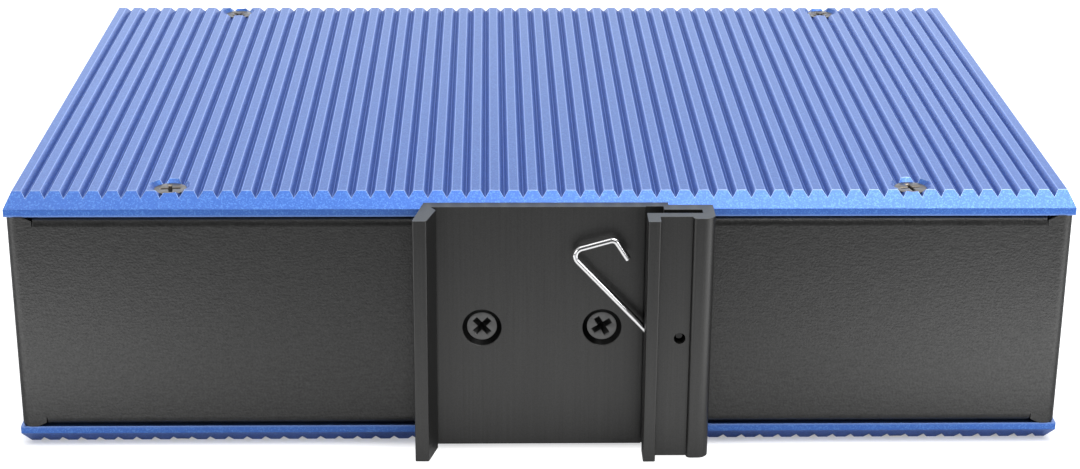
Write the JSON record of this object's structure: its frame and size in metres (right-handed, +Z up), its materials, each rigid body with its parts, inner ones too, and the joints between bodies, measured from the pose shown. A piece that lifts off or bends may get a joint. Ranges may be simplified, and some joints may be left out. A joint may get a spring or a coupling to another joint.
{
  "type": "din rail ethernet switch",
  "caption": "Flat metal network switch with ribbed blue side panels, a folded black case and a rail clip with a wire spring on its back.",
  "frame": {"origin": "middle of the overall box in X and Y, on the plane that the lower side panel's ridges rest on", "axes": "+X along the length, +Y from the rail clip to the port face, +Z up through the thickness"},
  "size_m": [0.165, 0.1234, 0.0424],
  "materials": {
    "blue_anodised": "fine bead-blasted and blue anodised, satin",
    "black_sheet": "black finish over a faint lengthwise brushing, satin",
    "black_anodised": "black anodised extrusion, satin",
    "black_steel": "black oxide",
    "screw_steel": "plated steel",
    "plain_steel": "zinc plated",
    "spring_wire": "bright drawn spring steel",
    "circuit_board": "green solder mask",
    "port_shield": "tinned shield round a black moulding",
    "cage_metal": "plated cage",
    "black_plastic": "moulded",
    "lamp_lens": "diffuse lens",
    "green_plastic": "moulded",
    "contact_metal": "tinned",
    "chip_black": "moulded package",
    "soft_pad": "soft heat pad",
    "raw_aluminium": "milled",
    "ferrite": "dark core",
    "capacitor_can": "sleeved can"
  },
  "bodies": {
    "case": {"board_screws": "screw_steel", "board_standoffs": "plain_steel", "chassis": "black_sheet", "chip_pad": "soft_pad", "clip_nuts": "plain_steel", "clip_screws": "black_steel", "din_clip": "black_anodised", "front_panel": "black_sheet", "ground_nut": "plain_steel", "ground_screw": "screw_steel", "ground_washer": "screw_steel", "header_pins": "contact_metal", "heat_block": "raw_aluminium", "indicator_block": "black_plastic", "indicator_lamps": "lamp_lens", "line_chips": "chip_black", "lower_panel_screws": "screw_steel", "lower_side_panel": "blue_anodised", "main_board": "circuit_board", "port_jack_1": "port_shield", "port_jack_2": "port_shield", "port_jack_3": "port_shield", "port_jack_4": "port_shield", "power_inductors": "ferrite", "power_transformer": "ferrite", "sfp_cage_1": "cage_metal", "sfp_cage_2": "cage_metal", "sfp_cage_3": "cage_metal", "sfp_cage_4": "cage_metal", "sfp_connector_1": "black_plastic", "sfp_connector_2": "black_plastic", "sfp_connector_3": "black_plastic", "sfp_connector_4": "black_plastic", "storage_capacitors": "capacitor_can", "switch_chip": "chip_black", "terminal_header": "green_plastic", "upper_panel_screws": "screw_steel", "upper_side_panel": "blue_anodised"},
    "spring": {"rail_spring": "spring_wire"}
  },
  "joints": [
    {"name": "spring_flex", "type": "hinge", "parent": "case", "child": "spring", "pos_m": [0.0211, -0.057, 0.0212], "axis": [0, 1, 0], "range_deg": [0, 8], "stiffness_Nm_per_rad": 0.5}
  ]
}
